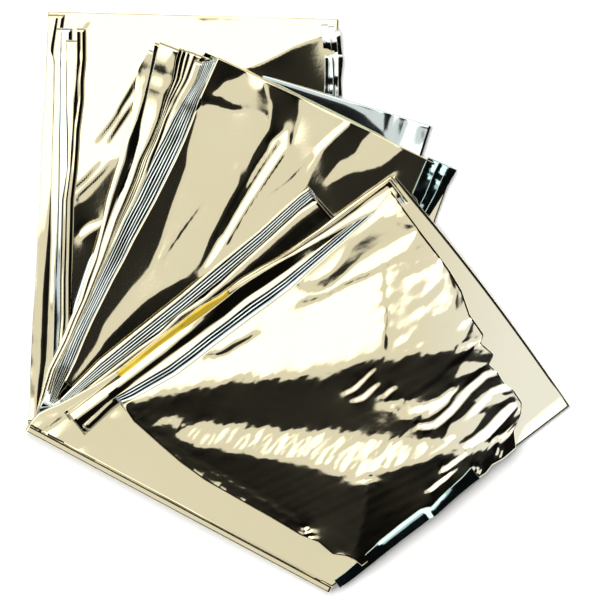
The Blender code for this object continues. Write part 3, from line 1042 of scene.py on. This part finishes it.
middleLeaf = {
    "start": "middleInner", "bend": "middleTop", "end": "narrowInner", "level": 4, "setBack": 0.0007,
    "out": 0.0007, "sag": 0.0012, "spacing": 0.0009, "columns": 170, "above": 3.2, "warp": (25, 1.2, 5),
    "hold": 0.02, "edge": streakRight,
    "hidden": [
        [(60, 430), (130, 372), (210, 302), (316, 212), (340, 235), (405, 200), (460, 260), (380, 620),
            (30, 460)],
    ],
    "tilts": [
        (180, 0.004, 10, [(200, 110), (232, 112), (262, 118), (266, 135), (250, 160), (236, 175),
            (212, 228), (196, 262), (165, 290), (120, 330), (104, 345), (130, 300), (165, 245),
            (190, 165)]),
        (180, 0.004, 10, [(296, 95), (345, 118), (318, 150), (304, 188), (262, 216), (214, 262), (225, 240),
            (252, 204), (290, 152)]),
        (112, 0.16, 4, [(186, 112), (200, 110), (188, 150), (188, 165), (173, 205), (161, 245), (150, 270),
            (130, 292), (105, 325), (98, 345), (80, 370), (62, 392), (40, 400), (85, 300), (130, 200),
            (160, 150)]),
        (150, 0.2, 4, [(217, 57), (250, 70), (241, 77), (225, 82), (216, 93), (203, 98), (200, 80),
            (206, 55)]),
        (165, 0.22, 3, [(203, 92), (222, 97), (246, 110), (235, 112), (203, 103)]),
        (120, 0.2, 4, [(264, 78), (297, 93), (300, 112), (296, 133), (288, 150), (281, 152), (270, 130),
            (272, 105), (268, 92)]),
        (120, 0.16, 3, [(271, 128), (260, 142), (252, 154), (249, 165), (254, 164), (268, 147),
            (274, 138)]),
        (120, 0.16, 3, [(238, 167), (253, 170), (247, 186), (240, 202), (225, 228), (212, 253), (203, 268),
            (199, 266), (210, 235), (225, 205), (238, 184)]),
        (-60, 0.16, 3, [(274, 138), (287, 130), (290, 150), (270, 176), (250, 206), (225, 243), (206, 268),
            (203, 268), (212, 253), (225, 228), (240, 202), (248, 186), (256, 166)]),
        (120, 0.22, 1.5, [(284, 152), (288, 152), (268, 181), (246, 214), (228, 246), (224, 246),
            (244, 212), (265, 180)]),
        (120, 0.22, 1.5, [(276, 144), (280, 144), (262, 170), (240, 206), (222, 238), (218, 238),
            (237, 204), (259, 168)]),
        (120, 0.22, 1.5, [(268, 145), (271, 146), (256, 168), (236, 202), (216, 238), (213, 237),
            (233, 200), (253, 166)]),
        (112, 0.20, 1.2, [(202, 202), (205, 203), (184, 232), (162, 264), (160, 262), (181, 230)]),
        (120, 0.20, 1.2, [(311, 156), (314, 157), (290, 182), (262, 202), (260, 200), (287, 180)]),
        (140, 0.19, 3, [(192, 281), (182, 278), (162, 289), (142, 303), (122, 323), (104, 342), (98, 352),
            (80, 374), (60, 398), (84, 396), (115, 368), (155, 335), (188, 308), (204, 290)]),
        (-50, 0.3, 2, [(350, 119), (354, 122), (320, 150), (316, 147)]),
        (125, 0.16, 4, [(353, 121), (374, 131), (362, 142), (356, 155), (340, 162), (330, 175), (323, 187),
            (306, 187), (312, 166), (322, 150), (337, 134)]),
        (140, 0.16, 5, [(330, 181), (350, 172), (380, 166), (403, 147), (420, 150), (440, 163), (430, 220),
            (395, 172), (335, 217), (306, 188)]),
    ],
}


# a plain panel, the bend at its far end, and the shaped panel that comes back over it
def buildLeaf(name, v, front, back):
    out = v["out"] + pile["film"]
    sag = v.get("sag", 0.0)
    s = panelStations(v["start"], v["bend"], v["level"], strip["plain"], v["setBack"], out, sag)
    s += bendStations(v["bend"], v["level"], v["level"] + 1, v["out"])
    first = len(s)
    s += panelStations(v["bend"], v["end"], v["level"] + 1, v["spacing"], out, strip["inner"])
    return finishSheet(stripSheet(name, s, v, first), front, back)


narrowLeaf = {
    "columns": 110, "spacing": 0.0012, "above": 5,
    "hidden": [
        [(40, 450), (112, 388), (160, 345), (228, 300), (296, 250), (336, 225), (560, 420), (345, 620),
            (60, 460)],
    ],
    "tilts": [
        (140, 0.16, 3, [(312, 203), (317, 203), (331, 217), (296, 244), (289, 228), (300, 213)]),
        (140, 0.16, 3, [(298, 214), (287, 229), (294, 245), (268, 263), (262, 258), (270, 242),
            (285, 227)]),
        (140, 0.16, 3, [(266, 245), (257, 262), (240, 272), (243, 280), (228, 294), (220, 292), (238, 271),
            (250, 262)]),
        (-42, 0.12, 1.5, [(283, 227), (287, 226), (297, 243), (293, 246)]),
        (-42, 0.12, 1.5, [(254, 262), (258, 259), (271, 262), (268, 266)]),
        (-42, 0.12, 1.5, [(236, 272), (241, 270), (247, 279), (242, 283)]),
        (140, 0.16, 3, [(219, 290), (226, 296), (200, 306), (160, 335), (120, 372), (60, 418), (60, 412),
            (110, 372), (160, 335)]),
    ],
}


def buildNarrowLeaf():
    s = panelStations("narrowInner", "narrowEnd", 6, narrowLeaf["spacing"], strip["inner"], 0)
    return finishSheet(stripSheet("narrowLeaf", s, narrowLeaf, 0), gold, silver)


# The loose pleat on top: its outline along the folded edge, the far end, the right side and the near
# end, its facets, and the zones that are crumpled all over.
frontPleat = {
    "rows": 236, "columns": 200, "lift": 0.0017, "warp": (38, 3.2, 4),
    "pin": 0.05, "pinned": (0.997, 0.7),
    "hem": (0.9988, 0.9994, 1.0),
    "rim": ((0.0001, 1.0), (0.0008, 0.5), (0.0014, 0.03)),
    "foot": 0.0002,
    "upAt": (100, 100),
    "crumples": {"size": 0.0045, "slope": 0.031, "seed": 11, "grain": 57, "stretch": 4.0},
    "hatches": {"size": 0.0026, "slope": 0.035, "seed": 12, "grain": 42, "stretch": 5.0},
    "dents": {"size": 0.009, "slope": 0.012, "seed": 5},
    "everywhere": 0.2,
    "zoneEdge": 14,
    "crumpled": [
        (372, 262), (430, 236), (470, 314), (484, 342), (420, 347), (384, 352),
    ],
    "hatched": [
        (182, 430), (260, 432), (350, 441), (440, 443), (440, 452), (400, 462), (360, 478), (300, 455),
        (225, 446), (183, 441),
    ],
    "fold": [
        (391, 190), (371, 216), (342, 242), (327, 255), (308, 272), (290, 289), (273, 302), (255, 315),
        (235, 330), (215, 345), (196, 360), (176, 375), (134, 398), (122, 405),
    ],
    "far": [
        (391, 190), (420, 230), (437, 252), (450, 270), (462, 290), (470, 314), (484, 334), (481, 342),
        (494, 354), (489, 364), (498, 372), (503, 381), (514, 390), (522, 402), (521, 414), (514, 430),
        (516, 448),
    ],
    "right": [
        (516, 448), (503, 459), (492, 465), (486, 473), (474, 481), (460, 492), (447, 503), (430, 516),
        (418, 522), (398, 538), (380, 552), (362, 566),
    ],
    "near": [
        (122, 405), (133, 421), (160, 445), (180, 462), (205, 480), (240, 500), (270, 517), (300, 535),
        (318, 542), (332, 554), (346, 556), (355, 560), (362, 566),
    ],
    "tilts": [
        (-42, 0.084, 14, [(118, 402), (205, 348), (300, 285), (345, 250), (391, 192), (425, 225),
            (400, 250), (392, 300), (390, 342), (350, 362), (300, 368), (240, 370), (200, 380),
            (160, 390)]),
        (-45, 0.035, 10, [(392, 262), (420, 240), (445, 262), (470, 316), (462, 342), (440, 350),
            (392, 345)]),
        (150, 0.116, 9, [(335, 270), (350, 245), (378, 220), (402, 222), (420, 228), (395, 240), (365, 257),
            (345, 268)]),
        (140, 0.132, 3, [(299, 281), (312, 283), (325, 277), (345, 262), (366, 255), (346, 273), (326, 291),
            (312, 294), (303, 290)]),
        (150, 0.126, 2, [(298, 301), (330, 290), (346, 282), (400, 256), (432, 241), (432, 246), (400, 261),
            (347, 287), (330, 296), (299, 307)]),
        (-20, 0.2, 2, [(300, 298), (330, 287), (346, 279), (372, 266), (346, 281), (330, 290)]),
        (150, 0.16, 2, [(203, 349), (219, 351), (238, 340), (258, 329), (260, 333), (240, 346), (222, 358),
            (204, 355)]),
        (160, 0.128, 2, [(379, 216), (400, 220), (417, 224), (416, 227), (398, 228), (382, 221)]),
        (100, 0.118, 2, [(380, 262), (383, 262), (388, 310), (388, 352), (384, 352), (384, 310)]),
        (110, 0.11, 4, [(418, 228), (426, 230), (438, 252), (424, 258), (404, 262), (412, 244)]),
        (150, 0.125, 2, [(415, 246), (434, 239), (435, 243), (418, 250)]),
        (115, 0.14, 3, [(398, 272), (436, 258), (438, 262), (400, 278)]),
        (95, 0.16, 3, [(441, 262), (446, 263), (460, 288), (456, 292), (446, 276)]),
        (110, 0.11, 3, [(420, 300), (440, 282), (444, 286), (424, 308)]),
        (95, 0.16, 3, [(456, 292), (464, 298), (470, 318), (462, 322), (452, 306)]),
        (120, 0.11, 5, [(430, 318), (462, 306), (466, 322), (440, 330)]),
        (173, 0.165, 7, [(128, 408), (142, 401), (170, 394), (200, 387), (215, 386), (234, 377), (262, 379),
            (300, 377), (322, 379), (346, 370), (375, 361), (400, 357), (420, 351), (450, 352), (478, 346),
            (494, 353), (500, 372), (522, 400), (516, 430), (470, 440), (440, 440), (395, 440), (350, 437),
            (340, 431), (300, 433), (270, 431), (230, 425), (200, 421), (180, 419), (146, 417)], 2.6),
        (130, 0.16, 3, [(463, 340), (471, 319), (484, 332), (480, 342)]),
        (-50, 0.12, 2, [(462, 342), (482, 342), (478, 348), (458, 350)]),
        (-40, 0.2, 1.5, [(344, 391), (352, 388), (373, 370), (372, 373), (356, 390), (346, 394)]),
        (-40, 0.2, 1.5, [(352, 399), (362, 396), (380, 380), (379, 384), (364, 399), (354, 402)]),
        (-40, 0.2, 1.5, [(376, 398), (384, 394), (394, 386), (393, 390), (384, 399)]),
        (-20, 0.1, 3, [(378, 402), (400, 400), (425, 405), (440, 398), (452, 386), (459, 391), (446, 411),
            (430, 419), (413, 421), (396, 413)]),
        (150, 0.16, 2, [(412, 414), (430, 416), (446, 404), (460, 384), (462, 388), (448, 409), (431, 421),
            (412, 419)]),
        (-45, 0.2, 2, [(414, 424), (434, 422), (450, 408), (466, 388), (486, 372), (500, 370), (486, 377),
            (468, 394), (452, 414), (436, 428), (416, 428)]),
        (130, 0.16, 2, [(434, 430), (452, 416), (470, 396), (488, 380), (502, 378), (490, 386), (472, 404),
            (456, 424), (440, 438)]),
        (-45, 0.2, 2, [(444, 438), (458, 426), (474, 406), (490, 390), (506, 384), (508, 388), (492, 396),
            (478, 412), (462, 432), (448, 444)]),
        (-60, 0.02, 4, [(462, 362), (478, 362), (486, 366), (470, 372), (455, 378)]),
        (-60, 0.02, 4, [(474, 398), (500, 392), (512, 396), (500, 401), (478, 403)]),
        (-60, 0.04, 4, [(450, 422), (466, 416), (484, 414), (474, 430), (458, 440), (448, 436)]),
        (-45, 0.2, 2, [(462, 444), (484, 430), (500, 412), (512, 402), (516, 406), (504, 420), (488, 438),
            (470, 448)]),
        (-45, 0.14, 3, [(476, 448), (490, 440), (500, 432), (504, 440), (492, 450), (490, 460), (478, 468),
            (470, 462)]),
        (298, 0.064, 7, [(182, 430), (200, 425), (225, 427), (260, 431), (300, 437), (330, 435), (350, 440),
            (400, 442), (440, 443), (458, 446), (440, 451), (420, 456), (400, 463), (372, 466), (362, 471),
            (360, 482), (352, 478), (345, 469), (320, 461), (300, 453), (280, 456), (250, 450), (225, 446),
            (200, 443), (183, 441)], 2.6),
        (-45, 0.15, 2, [(150, 423), (158, 422), (164, 430), (160, 432)]),
        (203, 0.18, 6, [(132, 419), (142, 418), (160, 424), (180, 430), (183, 444), (225, 449), (250, 454),
            (280, 460), (300, 458), (320, 466), (345, 474), (352, 484), (372, 484), (372, 520), (352, 557),
            (332, 554), (300, 535), (240, 500), (180, 462)], 2.6),
        (146, 0.178, 9, [(366, 474), (400, 467), (440, 455), (470, 452), (505, 440), (518, 448), (470, 484),
            (430, 516), (380, 552), (341, 590), (336, 576), (352, 557), (366, 500), (366, 484)]),
        (200, 0.112, 1.5, [(160, 436), (186, 453), (215, 470), (240, 484), (268, 499), (308, 524),
            (307, 526), (266, 502), (238, 487), (213, 472), (185, 455)]),
        (-45, 0.5, 1.5, [(302, 528), (306, 527), (314, 537), (311, 539)]),
        (-45, 0.2, 1.5, [(358, 481), (366, 479), (378, 480), (366, 483)]),
        (-45, 0.2, 1.5, [(428, 488), (444, 476), (456, 470), (446, 480), (432, 491)]),
        (-45, 0.2, 1.5, [(440, 468), (456, 458), (470, 452), (458, 462), (444, 471)]),
        (142, 0.24, 2, [(512, 432), (520, 446), (503, 462), (474, 484), (447, 506), (398, 541), (341, 590),
            (336, 580), (370, 548), (392, 532), (420, 510), (452, 488), (480, 464), (500, 446)]),
        (-45, 0.2, 1.5, [(472, 466), (475, 464), (481, 473), (478, 476)]),
        (-45, 0.2, 1.5, [(494, 450), (498, 447), (503, 456), (499, 459)]),
    ],
}


# the two lines before 1 drawn close to it
def hemmed(share):
    hem = frontPleat["hem"]
    order = np.unique(share.round(9))
    drawn = order.copy()
    drawn[-3:] = hem
    drawn[:-3] *= hem[0] / order[-3]
    return np.interp(share, order, drawn)


def buildFrontPleat():
    values = frontPleat
    rows, columns = values["rows"], values["columns"]
    mesh = gridMesh("frontPleat", rows, columns)
    co = readCoords(mesh)
    u = (co[:, 0] + 0.5).reshape(rows + 1, columns + 1)
    v = (co[:, 1] + 0.5).reshape(rows + 1, columns + 1)
    u, v = hemmed(u), 1 - hemmed(1 - hemmed(v))
    fold, far, right, near = (evenly(values[side]) for side in ("fold", "far", "right", "near"))
    blend = []
    for i in (0, 1):
        ruled = (1 - u) * fold(v)[i] + u * right(v)[i] + (1 - v) * far(u)[i] + v * near(u)[i]
        square = (1 - u) * (1 - v) * fold(0.0)[i] + u * (1 - v) * far(1.0)[i]
        square = square + (1 - u) * v * fold(1.0)[i] + u * v * near(1.0)[i]
        blend.append(ruled - square)
    x, y = blend
    pins = np.where((v > values["pinned"][0]) & (u < values["pinned"][1]), values["pin"], 0.0)
    bed = level(7) - settled(x, y)
    z = leant(x, y, bed + values["lift"], values["tilts"], pins=pins, warp=values["warp"])
    zones = (values["crumpled"], values["hatched"])
    crumpled, hatched = (insideSoft(x, y, zone, values["zoneEdge"]) for zone in zones)
    share = values["everywhere"] + (1 - values["everywhere"]) * crumpled
    z = z + (facets(x, y, **values["crumples"]) + facets(x, y, **values["dents"])) * share
    z = keptAbove(z + facets(x, y, **values["hatches"]) * hatched, 7, x, y)
    near, shares = zip(*values["rim"])
    drop = np.maximum.reduce([np.select([q < n for n in near], shares, 0.0) for q in (1 - u, v, 1 - v)])
    z = z * (1 - drop) + (bed + values["foot"]) * drop
    grids["frontPleat"] = (x, y, z)
    writeCoords(mesh, x, y, z)
    orient(mesh, *values["upAt"], columns)
    return finishSheet(mesh, gold, silver)


made = [
    buildFrontLeaf(),
    buildLeaf("rearLeaf", rearLeaf, gold, silver),
    buildLeaf("silverLeaf", silverLeaf, silver, gold),
    buildLeaf("middleLeaf", middleLeaf, gold, silver),
    buildNarrowLeaf(),
    buildFrontPleat(),
]
bundles = {
    "rearEdges": rearEdges, "middleEdges": middleEdges, "narrowEdges": narrowEdges,
    "frontEdges": frontEdges, "rearEnd": rearEnd, "middleEnd": middleEnd, "frontRim": frontRim,
}
made += [pleatBundle(name, values) for name, values in bundles.items()]
for piece in made:
    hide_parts("foil_sheet")
print("pieces made")
